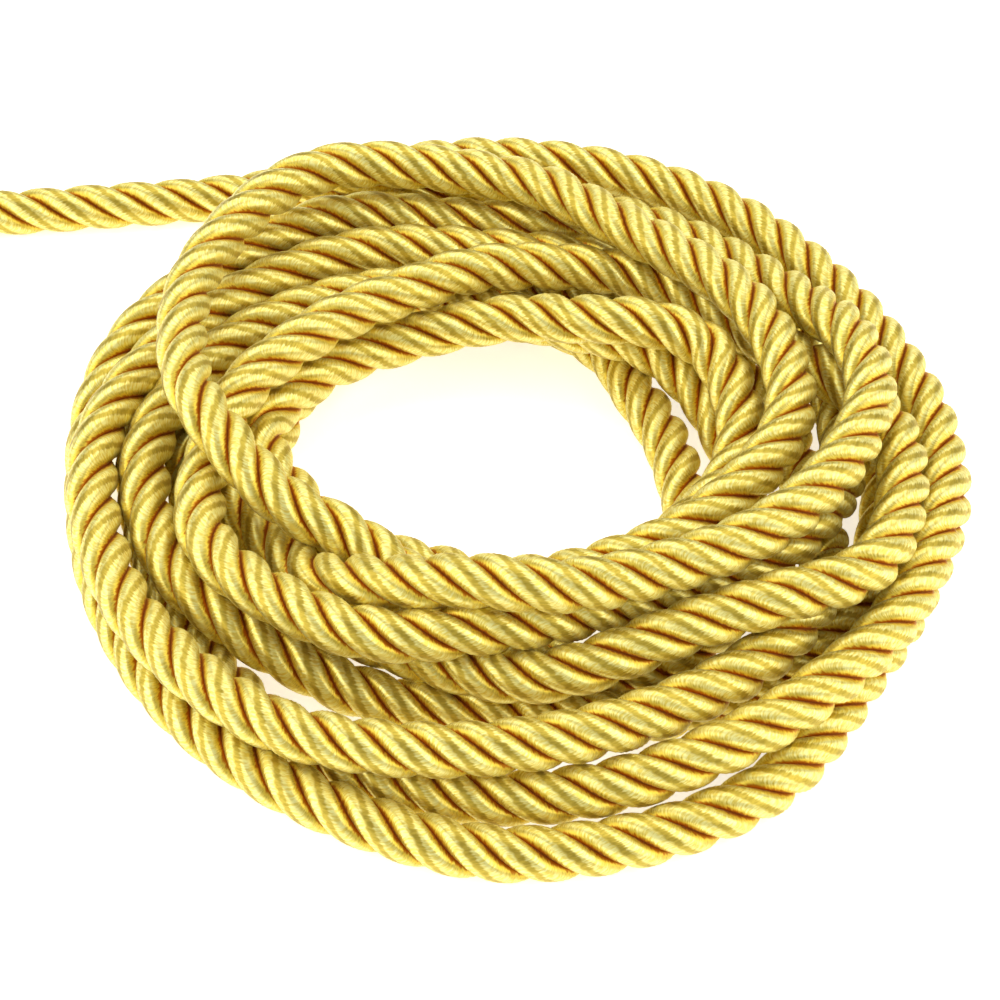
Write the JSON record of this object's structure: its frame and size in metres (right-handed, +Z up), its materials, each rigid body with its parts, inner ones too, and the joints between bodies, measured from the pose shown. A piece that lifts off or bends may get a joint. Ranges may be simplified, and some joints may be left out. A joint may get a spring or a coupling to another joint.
{
  "type": "twisted satin cord",
  "caption": "Golden twisted satin trimming cord lying in a loose coiled heap with one end running off the heap.",
  "frame": {"origin": "under the middle of the cord's box, on the surface the heap lies on", "axes": "+X to the right of the heap as pictured, +Y to its back, +Z up"},
  "size_m": [0.1102, 0.0944, 0.0185],
  "materials": {
    "satin_cord": "satin"
  },
  "bodies": {
    "root": {"coil": "satin_cord", "loose_end": "satin_cord"}
  },
  "joints": []
}
